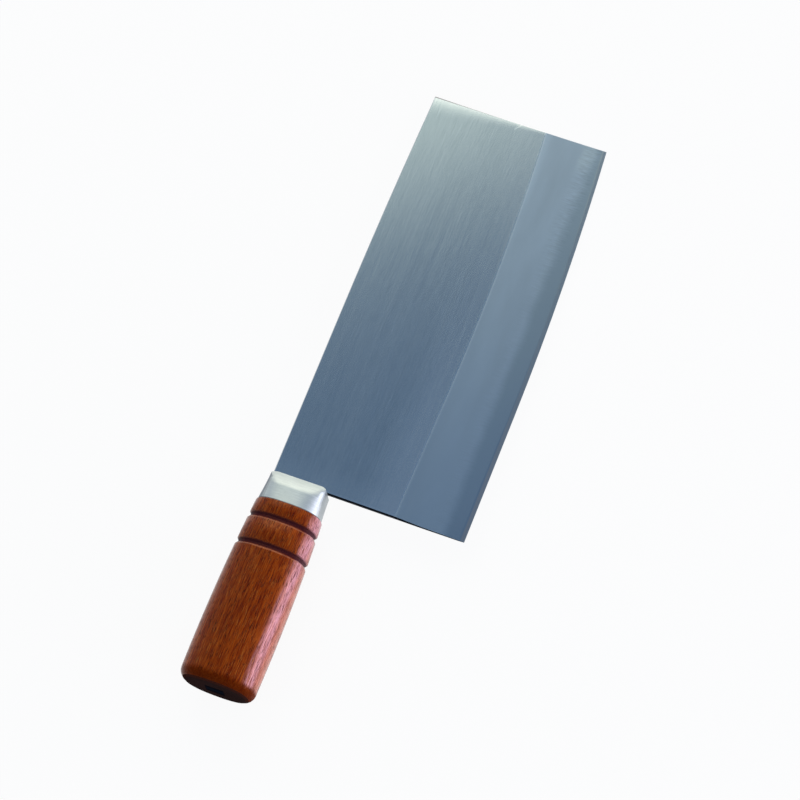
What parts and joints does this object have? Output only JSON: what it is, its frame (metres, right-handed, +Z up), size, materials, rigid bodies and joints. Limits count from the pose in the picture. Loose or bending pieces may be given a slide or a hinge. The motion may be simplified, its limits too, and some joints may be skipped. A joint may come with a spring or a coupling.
{
  "type": "chinese cleaver",
  "caption": "Broad rectangular kitchen cleaver with a clad steel blade ground to a long bevel, a metal ferrule and a grooved oval wooden grip.",
  "frame": {"origin": "under the middle of the knife's box, on the table that it lies on", "axes": "+X towards the toe of the blade, +Y towards the spine, +Z up, out of the blade's right side; the knife lies as it rests, on its grip and on the toe of the blade"},
  "size_m": [0.3332, 0.1074, 0.0337],
  "materials": {
    "core_steel": "honed and polished hard steel, bare along the edge",
    "right_cladding": "satin, brushed along the blade, with a hazier ground bevel",
    "left_cladding": "satin, brushed along the blade, with a hazier ground bevel",
    "tang": "dark forged steel",
    "ferrule": "fine satin sheet metal",
    "grip": "reddish brown hardwood with short dark pores, semi-gloss lacquer"
  },
  "bodies": {
    "root": {"core_steel": "core_steel", "right_cladding": "right_cladding", "left_cladding": "left_cladding", "tang": "tang", "ferrule": "ferrule", "grip": "grip"}
  },
  "joints": []
}
